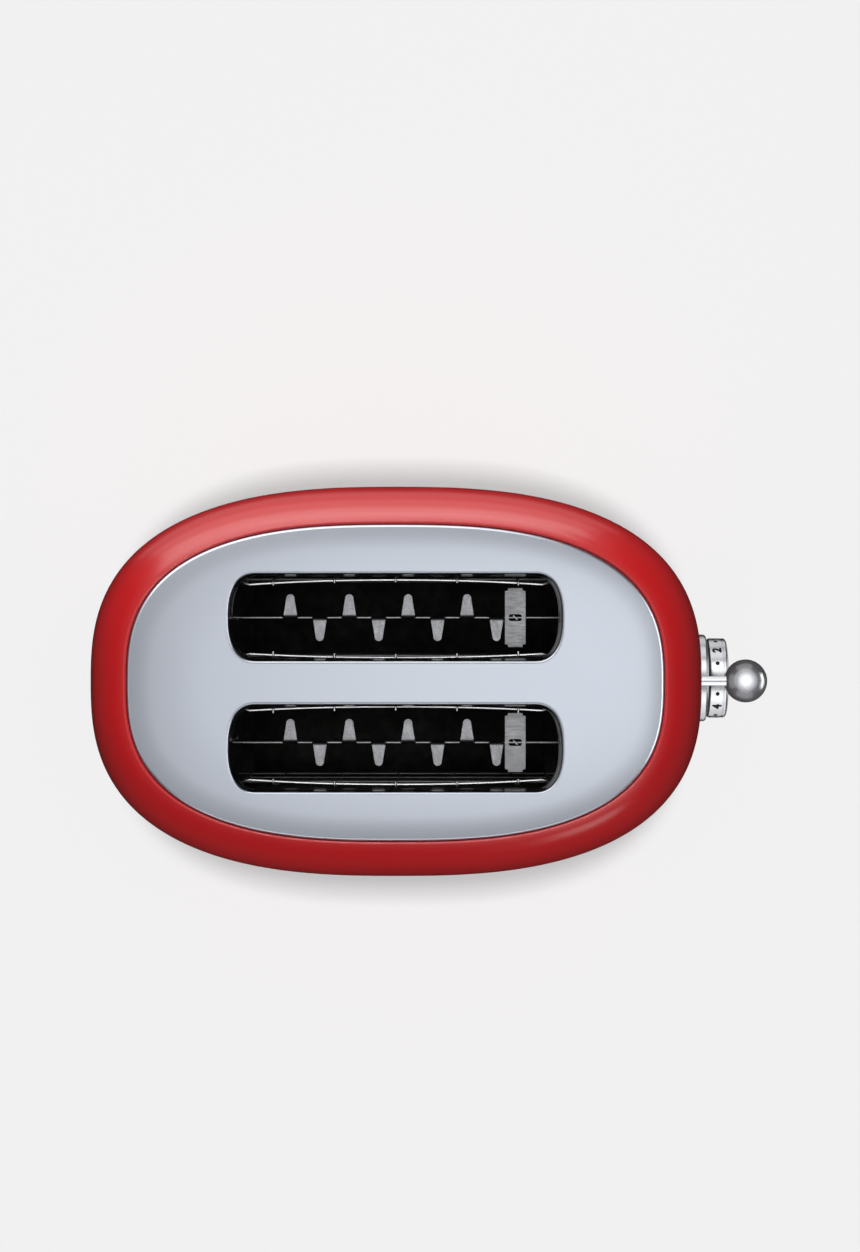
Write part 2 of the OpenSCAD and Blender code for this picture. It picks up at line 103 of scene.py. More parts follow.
class Look:
    """A node material: a Principled shader whose inputs are constants or procedural textures."""

    def __init__(self, name, colour, metallic=0.0, rough=0.5, **extra):
        self.material = bpy.data.materials.new(name)
        self.material.use_nodes = True
        self.nodes = self.material.node_tree.nodes
        self.links = self.material.node_tree.links
        self.shader = self.nodes["Principled BSDF"]
        self.shader.inputs["Base Color"].default_value = (*colour, 1)
        self.shader.inputs["Metallic"].default_value = metallic
        self.shader.inputs["Roughness"].default_value = rough
        for key, value in extra.items():
            self.shader.inputs[SOCKETS[key]].default_value = value
        self.colour = colour
        self.place = self.nodes.new("ShaderNodeTexCoord").outputs["Object"]

    def noise(self, scale, detail=2.0, stretch=EVEN, kind="ShaderNodeTexNoise"):
        mapping = self.nodes.new("ShaderNodeMapping")
        mapping.inputs["Scale"].default_value = stretch
        texture = self.nodes.new(kind)
        texture.inputs["Scale"].default_value = scale
        texture.inputs["Detail"].default_value = detail
        self.links.new(self.place, mapping.inputs["Vector"])
        self.links.new(mapping.outputs["Vector"], texture.inputs["Vector"])
        return texture.outputs["Color" if kind == CELLS else "Fac"]

    def spread(self, value, low, high, start=0.3, end=0.7):
        ramp = self.nodes.new("ShaderNodeMapRange")
        ramp.inputs["From Min"].default_value = start
        ramp.inputs["From Max"].default_value = end
        ramp.inputs["To Min"].default_value = low
        ramp.inputs["To Max"].default_value = high
        self.links.new(value, ramp.inputs["Value"])
        return ramp.outputs["Result"]

    def tint(self, pattern, other, amount, start=0.3, end=0.7):
        """Mixes in another colour where a pattern is high; a pattern is what noise() takes."""
        value = self.noise(*pattern)
        mix = self.nodes.new("ShaderNodeMix")
        mix.data_type = "RGBA"
        socket = self.shader.inputs["Base Color"]
        if socket.is_linked:
            self.links.new(socket.links[0].from_socket, mix.inputs["A"])
        else:
            mix.inputs["A"].default_value = (*self.colour, 1)
        mix.inputs["B"].default_value = (*other, 1)
        self.links.new(self.spread(value, 0, amount, start, end), mix.inputs["Factor"])
        self.links.new(mix.outputs["Result"], socket)
        return self

    def roughen(self, pattern, low, high):
        self.links.new(self.spread(self.noise(*pattern), low, high), self.shader.inputs["Roughness"])
        return self

    def bump(self, pattern, distance):
        bump = self.nodes.new("ShaderNodeBump")
        bump.inputs["Strength"].default_value = 1.0
        bump.inputs["Distance"].default_value = distance
        self.links.new(self.noise(*pattern), bump.inputs["Height"])
        self.links.new(bump.outputs["Normal"], self.shader.inputs["Normal"])
        return self


enamel = Look("red_enamel", (0.43, 0.0045, 0.0068), rough=0.38, coat_weight=1.0, coat_roughness=0.2)
enamel.tint((9, 3), (0.41, 0.004, 0.0062), 0.6).roughen((30, 2), 0.32, 0.38).bump((160, 1), 0.000004)

satin_plate = Look("satin_plate", (0.58, 0.617, 0.68), metallic=1.0, rough=0.3)
satin_plate.tint((14, 3), (0.59, 0.632, 0.70), 0.5).roughen((2500, 2), 0.28, 0.34)
satin_plate.bump((3800, 2), 0.0000015)

chrome = Look("polished_chrome", (0.80, 0.81, 0.83), metallic=1.0, rough=0.07)
chrome.roughen((120, 4), 0.045, 0.11).tint((35, 3), (0.74, 0.75, 0.78), 0.5)

satin_chrome = Look("satin_chrome", (0.70, 0.71, 0.74), metallic=0.85, rough=0.27)
satin_chrome.roughen((90, 3), 0.24, 0.30).tint((35, 3), (0.66, 0.67, 0.70), 0.5)

satin_steel = Look("satin_steel", (0.58, 0.59, 0.61), metallic=1.0, rough=0.32)
satin_steel.roughen((60, 3, (0.6, 0.6, 60)), 0.24, 0.4).bump((160, 2, (0.3, 0.3, 40)), 0.000006)

turned_steel = Look("turned_satin_steel", (0.60, 0.61, 0.63), metallic=1.0, rough=0.27)
turned_steel.roughen((60, 3, (70, 1, 1)), 0.2, 0.34).bump((120, 2, (60, 1, 1)), 0.000006)

black_gloss = Look("black_enamel", (0.008, 0.008, 0.009), rough=0.14, coat_weight=0.6, coat_roughness=0.06)
black_gloss.roughen((90, 3), 0.1, 0.24).bump((500, 1), 0.00001)

black_plastic = Look("black_plastic", (0.018, 0.018, 0.019), rough=0.5)
black_plastic.roughen((400, 3), 0.4, 0.6).bump((1800, 2), 0.00003)

rubber = Look("foot_rubber", (0.03, 0.03, 0.03), rough=0.75)
rubber.tint((200, 4), (0.055, 0.053, 0.05), 0.6).bump((1500, 3), 0.00004)

galvanised = Look("galvanised_sheet", (0.42, 0.43, 0.45), metallic=1.0, rough=0.42)
galvanised.tint((160, 2.0, EVEN, CELLS), (0.55, 0.56, 0.58), 0.8).roughen((140, 4), 0.34, 0.55)
galvanised.bump((900, 2), 0.000008)

# Steel of the slots' inside, coloured near black: painted shade of the deep slots; the darker patches vary at random
slot_shade_steel = Look("steel_painted_dark_as_slot_shade", (0.035, 0.033, 0.032), metallic=0.75, rough=0.6)
slot_shade_steel.tint((45, 5), (0.012, 0.01, 0.009), 0.9).roughen((200, 4), 0.5, 0.75).bump((700, 3), 0.00002)

brushed = Look("brushed_rack_steel", (0.45, 0.455, 0.47), metallic=1.0, rough=0.34)
brushed.tint((1300, 3), (0.29, 0.295, 0.305), 0.75, 0.4, 0.65).roughen((220, 3, (6, 1, 1)), 0.3, 0.42)
brushed.bump((1500, 2), 0.000008)

saddle_steel = Look("saddle_steel", (0.36, 0.365, 0.375), metallic=1.0, rough=0.36)
saddle_steel.tint((900, 3), (0.26, 0.265, 0.275), 0.75, 0.4, 0.65).tint((60, 3), (0.42, 0.425, 0.435), 0.5)
saddle_steel.roughen((220, 3, (1, 6, 1)), 0.3, 0.42).bump((1500, 2), 0.000008)

guide_wire = Look("nickel_wire", (0.66, 0.665, 0.68), metallic=1.0, rough=0.26)
guide_wire.tint((120, 4), (0.48, 0.47, 0.46), 0.7).roughen((300, 3), 0.2, 0.42)

frame_steel = Look("end_frame_steel", (0.17, 0.175, 0.19), metallic=0.2, rough=0.4)
frame_steel.tint((60, 4), (0.11, 0.113, 0.12), 0.7).roughen((200, 3), 0.34, 0.5)

# Wire of the lower guide grid, coloured darker than the top wire; the darker patches vary at random
darker_grid_wire = Look("darker_grid_wire", (0.30, 0.29, 0.285), metallic=0.9, rough=0.4)
darker_grid_wire.tint((90, 4), (0.16, 0.15, 0.145), 0.8).roughen((300, 3), 0.34, 0.5)

# Mica coloured near black: painted shade of the slots' inside, where real mica is light brown; the lighter flakes and
# darker patches vary at random
mica = Look("mica_board", (0.03, 0.026, 0.022), rough=0.7)
mica.tint((260, 2.0, EVEN, CELLS), (0.045, 0.038, 0.03), 0.7).tint((30, 4), (0.018, 0.015, 0.012), 0.8)
mica.bump((500, 4), 0.00003)

# Heating ribbons coloured near black, with lighter streaks at random
ribbon = Look("near_black_ribbon", (0.045, 0.042, 0.04), metallic=0.8, rough=0.6)
ribbon.tint((80, 4, (1, 1, 6)), (0.07, 0.06, 0.052), 0.6).roughen((300, 2), 0.55, 0.7)

spring_steel = Look("spring_steel", (0.45, 0.45, 0.47), metallic=1.0, rough=0.28)
spring_steel.roughen((240, 3), 0.2, 0.4).tint((60, 3), (0.34, 0.34, 0.35), 0.6)

soft_iron = Look("soft_iron", (0.22, 0.215, 0.21), metallic=1.0, rough=0.45)
soft_iron.tint((120, 4, (1, 1, 20)), (0.30, 0.295, 0.29), 0.7).bump((240, 2, (1, 1, 30)), 0.00002)

copper = Look("copper_winding", (0.55, 0.20, 0.07), metallic=0.9, rough=0.3)
copper.tint((500, 2, (0.2, 0.2, 8)), (0.32, 0.10, 0.035), 0.9).bump((400, 1, (0.15, 0.15, 8)), 0.00015)

board_green = Look("circuit_board", (0.012, 0.085, 0.03), rough=0.35)
board_green.tint((300, 2, (1, 3, 1)), (0.02, 0.13, 0.05), 0.7, 0.48, 0.52).bump((900, 2), 0.00001)

ivory = Look("ivory_plastic", (0.62, 0.57, 0.45), rough=0.42)
ivory.tint((70, 4), (0.55, 0.48, 0.34), 0.5).bump((900, 2), 0.00001)

black_paint = Look("dial_number_paint", (0.008, 0.008, 0.009), rough=0.5, specular=0.15)
black_paint.roughen((900, 2), 0.3, 0.5)

floor_paint = Look("pale_floor", (0.30, 0.30, 0.30), rough=0.9, specular=0.0)
floor_paint.tint((1.5, 2), (0.303, 0.303, 0.303), 0.5)


# ---------- Shapes ----------


def even_steps(path, count):
    """Where count even steps along a path fall: a segment's number, and the share of it passed."""
    run = [0.0]
    for p, q in zip(path, path[1:]):
        run.append(run[-1] + math.dist(p, q))
    places, k = [], 0
    for i in range(count):
        goal = run[-1] * i / count
        while run[k + 1] < goal:
            k += 1
        places.append((k, (goal - run[k]) / max(run[k + 1] - run[k], 1e-9)))
    return places


def even_turns(count, fine=8192):
    """Angles that lie evenly along the shell's outline."""
    angles = [2 * math.pi * i / fine for i in range(fine + 1)]
    outline = [oval_point(SHELL_A, SHELL_B, SQUARENESS, t) for t in angles]
    return [angles[k] + share * (angles[k + 1] - angles[k]) for k, share in even_steps(outline, count)]


def oval_point(a, b, n, t):
    c, s = math.cos(t), math.sin(t)
    return (math.copysign(abs(c) ** (2 / n), c) * a, math.copysign(abs(s) ** (2 / n), s) * b)


TURNS = even_turns(AROUND)


def oval(a, b, n, z):
    return [(*oval_point(a, b, n, t), z) for t in TURNS]


def shell_size(f):
    """Half-length, half-width and squareness at depth f: 0 at the widest, 1 at the plate's edge."""
    return (SHELL_A - f * (SHELL_A - PLATE_A), SHELL_B - f * (SHELL_B - PLATE_B),
            SQUARENESS + f * (PLATE_SQUARENESS - SQUARENESS))


def shell_ring(f, z):
    return oval(*shell_size(f), z)


STRAIGHT_Z = 120
SHOULDER_Z = 158
SHOULDER_SWEEP = math.radians(76.7)
SHOULDER_DEPTH = 1.2
SHOULDER_RISE = (SHELL_TOP - 0.1 - SHOULDER_Z) / math.sin(SHOULDER_SWEEP)


def wall_depth(z):
    """Depth f of the painted wall at height z."""
    if z < SHOULDER_Z:
        return 0.05 * (max(STRAIGHT_Z - z, 0) / 75) ** 1.8
    rise = min((z - SHOULDER_Z) / SHOULDER_RISE, math.sin(SHOULDER_SWEEP))
    return SHOULDER_DEPTH * (1 - math.sqrt(1 - rise ** 2))


def wall_x(y, z):
    """How far the front of the painted wall stands from the middle, at y and z."""
    a, b, n = shell_size(wall_depth(z))
    return a * (1 - (abs(y) / b) ** n) ** (1 / n)


def wall_y(x, z):
    a, b, n = shell_size(wall_depth(z))
    return b * (1 - (abs(x) / a) ** n) ** (1 / n)


def wall_normal(x, y, z):
    """Outward direction of the painted wall near a point."""

    def value(px, py, pz):
        a, b, n = shell_size(wall_depth(pz))
        return (abs(px) / a) ** n + (abs(py) / b) ** n

    h = 0.05
    return Vector((value(x + h, y, z) - value(x - h, y, z), value(x, y + h, z) - value(x, y - h, z),
                   value(x, y, z + h) - value(x, y, z - h))).normalized()


class Shape:
    """Points and faces gathered in millimetres, then made into one object."""

    def __init__(self):
        self.points = []
        self.faces = []

    def loft(self, rings, wrap=False, cap_start=False, cap_end=False):
        base = len(self.points)
        count = len(rings[0])
        for ring in rings:
            self.points.extend(ring)
        rows = len(rings) if wrap else len(rings) - 1
        for r in range(rows):
            up = (r + 1) % len(rings)
            for i in range(count):
                j = (i + 1) % count
                self.faces.append((base + r * count + i, base + r * count + j,
                                   base + up * count + j, base + up * count + i))
        if cap_start:
            self.faces.append(tuple(base + i for i in reversed(range(count))))
        if cap_end:
            last = base + (len(rings) - 1) * count
            self.faces.append(tuple(last + i for i in range(count)))
        return self

    def turned(self, profile, y, z, count=96, cap_start=False, cap_end=False):
        """Turned about the X axis through y, z: the profile is a list of (radius, x)."""
        rings = []
        for r, x in profile:
            rings.append([(x, y + r * math.sin(2 * math.pi * i / count), z + r * math.cos(2 * math.pi * i / count))
                          for i in range(count)])
        return self.loft(rings, cap_start=cap_start, cap_end=cap_end)

    def upright(self, profile, x, y, count=64, cap_start=False, cap_end=False):
        """Turned about a vertical axis: the profile is a list of (radius, z)."""
        rings = [[(x + r * math.cos(2 * math.pi * i / count), y + r * math.sin(2 * math.pi * i / count), z)
                  for i in range(count)] for r, z in profile]
        return self.loft(rings, cap_start=cap_start, cap_end=cap_end)

    def tube(self, path, radius, sides=12):
        path = [Vector(p) for p in path]
        side = None
        rings = []
        for k, point in enumerate(path):
            ahead = (path[min(k + 1, len(path) - 1)] - path[max(k - 1, 0)]).normalized()
            if side is None:
                side = ahead.orthogonal().normalized()
            side = (side - ahead * side.dot(ahead)).normalized()
            up = ahead.cross(side)
            rings.append([tuple(point + radius * (math.cos(a) * side + math.sin(a) * up))
                          for a in (2 * math.pi * i / sides for i in range(sides))])
        for end, near in ((0, 1), (-1, -2)):
            middle = path[end]
            out = (middle - path[near]).normalized()
            small = [tuple(middle + 0.55 * (Vector(p) - middle) + out * radius * 0.35) for p in rings[end]]
            rings.insert(0, small) if end == 0 else rings.append(small)
        return self.loft(rings, cap_start=True, cap_end=True)

    def slab(self, outline, low, high, axis="z", edge=0.0):
        """An outline pushed from low to high along an axis, with its edges eased."""
        def at(p, h):
            return {"z": (p[0], p[1], h), "y": (p[0], h, p[1]), "x": (h, p[0], p[1])}[axis]

        rings = [[at(p, low) for p in outline], [at(p, high) for p in outline]]
        if edge:
            inner, mid = offset(outline, -edge), offset(outline, -edge * 0.3)
            rings = [[at(p, low) for p in inner], [at(p, low + edge * 0.3) for p in mid],
                     [at(p, low + edge) for p in outline], [at(p, high - edge) for p in outline],
                     [at(p, high - edge * 0.3) for p in mid], [at(p, high) for p in inner]]
        return self.loft(rings, cap_start=True, cap_end=True)

    def make(self, name, look, body, slot=None, replaces=(), sharp=32):
        mesh = bpy.data.meshes.new(name)
        mesh.from_pydata([spot(p) for p in self.points], [], self.faces)
        mesh.validate()
        obj = bpy.data.objects.new(name, mesh)
        scene.collection.objects.link(obj)
        tidy_normals(obj, sharp)
        mesh.materials.append(look.material)
        if body:
            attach(obj, body)
            if replaces:
                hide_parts(*replaces)
        return obj


def tidy_normals(obj, sharp):
    work = bmesh.new()
    work.from_mesh(obj.data)
    bmesh.ops.recalc_face_normals(work, faces=work.faces)
    work.to_mesh(obj.data)
    work.free()
    obj.data.shade_smooth()
    obj.data.set_sharp_from_angle(angle=math.radians(sharp))


def offset(outline, distance):
    """A closed 2D outline moved outwards by a distance."""
    count = len(outline)
    area = sum(p[0] * q[1] - q[0] * p[1] for p, q in zip(outline, outline[1:] + outline[:1]))
    turn = 1 if area > 0 else -1
    moved = []
    for i in range(count):
        p, q, r = outline[i - 1], outline[i], outline[(i + 1) % count]
        n1 = Vector((q[1] - p[1], p[0] - q[0])).normalized()
        n2 = Vector((r[1] - q[1], q[0] - r[0])).normalized()
        n = n1 + n2
        scale = 2 / max(n.dot(n), 0.6)
        moved.append((q[0] + turn * distance * scale * n.x, q[1] + turn * distance * scale * n.y))
    return moved


def rounded(half_x, half_y, radius, steps=6, centre=(0, 0)):
    """Outline of a rectangle with round corners."""
    out = []
    for sx, sy, start in ((1, 1, 0), (-1, 1, 90), (-1, -1, 180), (1, -1, 270)):
        for k in range(steps + 1):
            a = math.radians(start + 90 * k / steps)
            out.append((centre[0] + sx * (half_x - radius) + radius * math.cos(a),
                        centre[1] + sy * (half_y - radius) + radius * math.sin(a)))
    return out


def cut(obj, cutter, sharp=32):
    """Takes the cutter out of the object, for good."""
    modifier = obj.modifiers.new("cut", "BOOLEAN")
    modifier.operation = "DIFFERENCE"
    modifier.solver = "EXACT"
    modifier.object = cutter
    graph = bpy.context.evaluated_depsgraph_get()
    mesh = bpy.data.meshes.new_from_object(obj.evaluated_get(graph))
    obj.modifiers.remove(modifier)
    old = obj.data
    obj.data = mesh
    bpy.data.meshes.remove(old)
    bpy.data.objects.remove(cutter)
    mesh.shade_smooth()
    mesh.set_sharp_from_angle(angle=math.radians(sharp))


def set_true_normals(mesh, direction):
    """Gives corners the surface's own direction, where the direction function knows it."""
    normals = [tuple(c.vector) for c in mesh.corner_normals]
    for face in mesh.polygons:
        for loop in face.loop_indices:
            place = mesh.vertices[mesh.loops[loop].vertex_index].co
            point = ((place.x - BODY_X) / MM, place.y / MM, place.z / MM)
            normal = direction(point, face.normal)
            if normal is not None:
                normals[loop] = tuple(normal)
    mesh.normals_split_custom_set(normals)


# ---------- Painted shell ----------

KNOB_HOLE = 23.25
BUTTON_Z = 34
BUTTON_PITCH = 20
BUTTON_HOLE = 6.3
GLAND_Z = 36
LEVER_SLOT_LOW = LEVER_Z - LEVER_TRAVEL - 6
LEVER_SLOT_HIGH = LEVER_Z + 7
LEVER_SLOT_HALF = 6.0


def painted_shell():
    rows = [(0.225, SHELL_LOW + 0.2), (0.175, SHELL_LOW), (0.14, SHELL_LOW + 0.25), (0.11, SHELL_LOW + 1.1)]
    for k in range(30):
        z = SHELL_LOW + 2.5 + (SHOULDER_Z - SHELL_LOW - 2.5) * k / 30
        rows.append((wall_depth(z), z))
    for k in range(33):
        t = SHOULDER_SWEEP * k / 32
        rows.append((SHOULDER_DEPTH * (1 - math.cos(t)), SHOULDER_Z + SHOULDER_RISE * math.sin(t)))
    top = SHELL_TOP
    roll, start = 1.25, math.radians(16)
    lip = [rows[-1]]
    for k in range(1, 12):
        a = start - math.radians(92) * k / 11
        lip.append((0.924 + roll * (math.sin(start) - math.sin(a)) / 22,
                    top - 0.1 - roll * (math.cos(start) - math.cos(a))))
    lip += [(0.99, top - 2.8), (0.991, top - 6), (0.93, top - 6)]
    rows += [(0.93, top - 0.9), (0.93, top - 5.6), (0.92, top - 3.4)]
    for k in range(12):
        t = math.radians(72) * (1 - k / 12)
        rows.append((0.1 + 1.1 * (1 - math.cos(t)),
                     SHOULDER_Z + (top - 3.1 - SHOULDER_Z) * math.sin(t) / math.sin(math.radians(72))))
    rows += [(0.085, 110), (0.12, 60), (0.16, SHELL_LOW + 3), (0.23, SHELL_LOW + 1)]
    shape = Shape().loft([shell_ring(f, z) for f, z in rows], wrap=True)
    shell = shape.make("painted_body_shell", enamel, "housing", "painted_shell", ["body_shell"])
    Shape().loft([shell_ring(f, z) for f, z in lip]).make(
        "rolled_inner_edge", enamel, "housing", "painted_shell", sharp=50)

    holes = Shape()
    inside, outside = SHELL_A - 14, SHELL_A + 8
    outline = rounded(LEVER_SLOT_HALF, (LEVER_SLOT_HIGH - LEVER_SLOT_LOW) / 2, LEVER_SLOT_HALF - 0.5, 10,
                      (0, (LEVER_SLOT_LOW + LEVER_SLOT_HIGH) / 2))
    holes.slab(outline, inside, outside, "x")
    holes.turned([(KNOB_HOLE, inside), (KNOB_HOLE, outside)], 0, KNOB_Z, 96, True, True)
    for k in (-1, 0, 1):
        holes.turned([(BUTTON_HOLE, inside), (BUTTON_HOLE, outside)], k * BUTTON_PITCH, BUTTON_Z, 48, True, True)
    holes.turned([(6.1, -outside), (6.1, -inside)], 0, GLAND_Z, 48, True, True)
    cut(shell, holes.make("shell_cutter", enamel, None))

    # The cut leaves long faces: the wall's true directions keep its gloss even.
    def wall_direction(point, flat):
        x, y, z = point
        if not 24 < z < 180 or abs(x) < 120 or abs(abs(x) - wall_x(y, z)) > 0.5:
            return None
        out = wall_normal(x, y, z)
        return out if out.dot(flat) > 0.9 else None

    set_true_normals(shell.data, wall_direction)

    # Rolled edge of the lever's slot
    roll = 1.4
    rings = [[(y, z, roll * (1 - math.cos(a))) for y, z in offset(outline, -roll * math.sin(a) + 0.02)]
             for a in (math.pi / 2 * k / 8 for k in range(9))]
    for inset in (0.02, 0.8):
        rings.append([(y, z, roll + 1.6) for y, z in offset(outline, -roll + inset)])
    rows = [[(wall_x(*edge) + 0.01 - depth, y, z) for edge, (y, z, depth) in zip(outline, ring)] for ring in rings]
    Shape().loft(rows).make("lever_slot_rolled_edge", enamel, "housing", "painted_shell", sharp=50)


painted_shell()


# ---------- Top plate, slots and liners ----------


def slot_contour(margin, count=216):
    """Outline of a bread slot, grown by a margin: straight sides and bulged ends."""
    straight, end, half, power = 67.9, 13.6, 21.35, 2.45
    fine = []
    for k in range(400):
        t = math.pi * (k / 400) - math.pi / 2
        fine.append((straight + end * abs(math.cos(t)) ** (2 / power),
                     half * math.copysign(abs(math.sin(t)) ** (2 / power), t)))
    fine += [(straight - 2 * straight * k / 100, half) for k in range(100)]
    fine += [(-x, -y) for x, y in fine[:400]]
    fine += [(-straight + 2 * straight * k / 100, -half) for k in range(100)]
    fine.append(fine[0])
    even = [tuple(p + share * (q - p) for p, q in zip(fine[k], fine[k + 1])) for k, share in even_steps(fine, count)]
    return offset(even, margin)


def plate_drop(x, y):
    """How far the domed plate lies below its highest point."""
    low, high = 0.0, DOME
    for _ in range(18):
        d = (low + high) / 2
        if (abs(x) / (PLATE_A - d)) ** PLATE_SQUARENESS + (abs(y) / (PLATE_B - d)) ** PLATE_SQUARENESS > 1:
            high = d
        else:
            low = d
    return dome_drop((low + high) / 2)


def dome_drop(d):
    """The same at a distance d in from the plate's edge."""
    return 1.3 * (max(DOME - d, 0) / DOME) ** 2 + 0.8 * (max(12 - d, 0) / 12) ** 2


def slot_ring(side, margin, z):
    return [(x, y + side * SLOT_Y, z) for x, y in slot_contour(margin)]


RIM = 1.15
DOME = 38


def top_plate():
    top = PLATE_TOP
    rows = [(1.8, top - 3.2), (1.5, top - 4.4), (0.5, top - 4.4), (0.12, top - 4.25), (0, top - 3.95)]
    roll, steepest = 2.2, math.radians(78)
    edge = roll * (1 - math.cos(steepest))
    for k in range(12):
        a = steepest * k / 11
        rows.append((roll * (1 - math.cos(a)), top - dome_drop(edge) - roll * (math.sin(steepest) - math.sin(a))))
    for k in range(1, 21):
        d = edge + (DOME - edge) * (k / 20) ** 1.5
        rows.append((d, top - dome_drop(d)))
    shape = Shape().loft([oval(PLATE_A - d, PLATE_B - d, PLATE_SQUARENESS, z) for d, z in rows],
                         cap_start=True, cap_end=True)
    plate = shape.make("satin_top_plate", satin_plate, "housing", "silver_plate", ["top_plate"], sharp=28)
    cutter = Shape()
    for side in (-1, 1):
        cutter.loft([slot_ring(side, RIM, top - 8), slot_ring(side, RIM, top + 4)], cap_start=True, cap_end=True)
    cut(plate, cutter.make("slot_cutter", satin_plate, None), 28)

    def plate_direction(point, flat):
        x, y, z = point
        if z < top - 2.05 or flat.z < 0.95:
            return None
        h = 0.5
        return Vector((plate_drop(x + h, y) - plate_drop(x - h, y), plate_drop(x, y + h) - plate_drop(x, y - h),
                       2 * h)).normalized()

    set_true_normals(plate.data, plate_direction)

    for side, name in ((-1, "left"), (1, "right")):
        rows = [(RIM + 0.12, top), (RIM, top)]
        for k in range(1, 9):
            a = math.pi / 2 * k / 8
            rows.append((RIM * (1 - math.sin(a)), top - RIM + RIM * math.cos(a)))
        rows += [(0, top - 2.6), (0.5, top - 2.6), (RIM, top - 1.8)]
        rings = [[(x, y, z - plate_drop(x, y) * max(z - top + 2.6, 0) / 2.6) for x, y, z in slot_ring(side, m, z)]
                 for m, z in rows]
        Shape().loft(rings).make(f"slot_rim_{name}", satin_plate, "housing", "silver_plate", sharp=50)

        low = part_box(f"slot_liner_{name}")[0].z / MM
        rows = [(0.9, top - 2.7), (0.0, top - 2.65), (-0.12, top - 3.0), (-0.3, top - 5), (-0.75, low + 4),
                (-1.15, low + 0.8), (-1.3, low + 0.2), (-1.2, low - 0.2), (-0.7, low - 0.35), (-0.3, low),
                (0.85, low + 1.0)]
        Shape().loft([slot_ring(side, m, z) for m, z in rows], wrap=True).make(
            f"slot_collar_{name}", black_gloss, "housing", "black_enamel", [f"slot_liner_{name}"])


top_plate()


# ---------- Trim, plinth, feet ----------


def side_trim():
    z0, z1 = extent("side_trim")[4:]
    middle = (z0 + z1) / 2
    shape = Shape()
    for side in (-1, 1):
        for k in range(-2, 3):
            x = k * 31
            wall = wall_y(x, middle)
            turn = math.atan(wall_y(x + 0.5, middle) - wall_y(x - 0.5, middle))
            rings = [[(x + px * math.cos(turn) - out * math.sin(turn),
                       side * (wall + px * math.sin(turn) + out * math.cos(turn)), middle + pz)
                      for px, pz in rounded(3 - edge, 4 - edge, 1.2 - edge * 0.7, 6)]
                     for out, edge in ((0.2, 0.0), (0.9, 0.0), (1.2, 0.12), (1.38, 0.35), (1.44, 0.8))]
            shape.loft(rings, cap_start=True, cap_end=True)
    shape.make("raised_side_bars", satin_steel, "housing", "chrome_trim", ["side_trim"], sharp=40)


side_trim()


def plinth():
    _, a, _, b, z0, z1 = extent("base_plinth")
    rows = [(1.5, z0), (0.5, z0), (0.12, z0 + 0.2), (0, z0 + 0.7), (0, z1 - 0.6), (0.4, z1), (1.5, z1)]
    shape = Shape().loft([oval(a - d, b - d, SQUARENESS, z) for d, z in rows], wrap=True)
    band = shape.make("satin_base_plinth", satin_steel, "housing", "satin_steel", ["base_plinth"])
    tray_half = extent("tray_handle")[3]
    mouth = Shape().slab(rounded(tray_half + 0.5, 4.5, 1.4, 5, (0, 14)), -a - 12, -a + 50, "x")
    cut(band, mouth.make("tray_mouth_cutter", satin_steel, None))


plinth()


def tray_front():
    _, _, _, reach, z0, z1 = extent("tray_handle")
    a, b = SHELL_A - 7, SHELL_B - 6.5
    grip_half = 28.0

    def back_x(y, inset):
        return -(a - inset) * (1 - (abs(y) / (b - inset)) ** SQUARENESS) ** (1 / SQUARENESS)

    ys = [-reach + 2 * reach * k / 72 for k in range(73)]
    section = [(4.3, z0 + 0.6), (4.3, z1 - 0.6), (3.9, z1), (0.5, z1), (0.12, z1 - 0.2), (0.0, z1 - 0.7),
               (0.0, z0 + 0.7), (0.12, z0 + 0.2), (0.5, z0), (3.9, z0)]
    rings = [[(back_x(y, inset), y, z) for inset, z in section] for y in ys]
    shape = Shape().loft(rings, cap_start=True, cap_end=True)
    lip = []
    for k in range(41):
        y = -grip_half + 2 * grip_half * k / 40
        out = 4.0 * (1 - abs(y / grip_half) ** 6) ** 0.5 + 0.05
        ring = []
        for share, z in ((0, z0), (0.86, z0), (0.96, z0 + 0.25), (1, z0 + 0.8), (0.96, z0 + 1.5), (0.86, z0 + 1.9),
                         (0.35, z0 + 2.1), (0, z0 + 3.4)):
            ring.append((back_x(y, 0.3) - out * share, y, z))
        lip.append(ring)
    shape.loft(lip, cap_start=True, cap_end=True)
    shape.make("crumb_tray_front", satin_steel, "tray", "satin_steel", ["tray_handle"])


tray_front()


def feet():
    x0, x1, y0, y1, _, _ = extent("rubber_feet")
    radius = 9.0
    profile = [(1.7, 6), (1.7, 3.2), (4.0, 3.0), (4.0, 0.5), (4.4, 0.05), (4.8, 0.0), (7.2, 0.0), (7.8, 0.25),
               (8.1, 0.9), (8.25, 2.4), (8.6, 2.7), (8.6, 3.2), (8.35, 3.5), (8.7, 5.6), (radius, 6.0)]
    shape = Shape()
    for x in (x1 - radius, x0 + radius):
        for y in (y1 - radius, y0 + radius):
            shape.upright(profile, x, y, 48)
            shape.upright([(radius, 6.0), (1.7, 6.0)], x, y, 48)
    shape.make("moulded_feet", rubber, "housing", "foot_rubber", ["rubber_feet"], sharp=30)


feet()


def gland():
    x0, x1 = extent("cord_gland")[:2]
    bore = 3.6
    profile = [(bore, x1), (bore, x0 + 0.6), (bore + 0.5, x0), (7.6, x0), (8.6, x0 + 0.35), (9.0, x0 + 1.0),
               (9.0, x0 + 2.0), (8.6, x0 + 2.4), (6.0, x0 + 2.5)]
    for k in range(5):
        x = x0 + 3.4 + k * 1.8
        profile += [(6.0, x), (5.7, x + 0.4), (5.7, x + 0.9), (6.0, x + 1.3)]
    profile += [(6.0, x1 - 0.5), (5.5, x1), (bore, x1)]
    Shape().turned(profile, 0, GLAND_Z, 64).make(
        "lead_entry_gland", black_plastic, "housing", "black_plastic", ["cord_gland"], sharp=30)


gland()


# ---------- Lever ----------


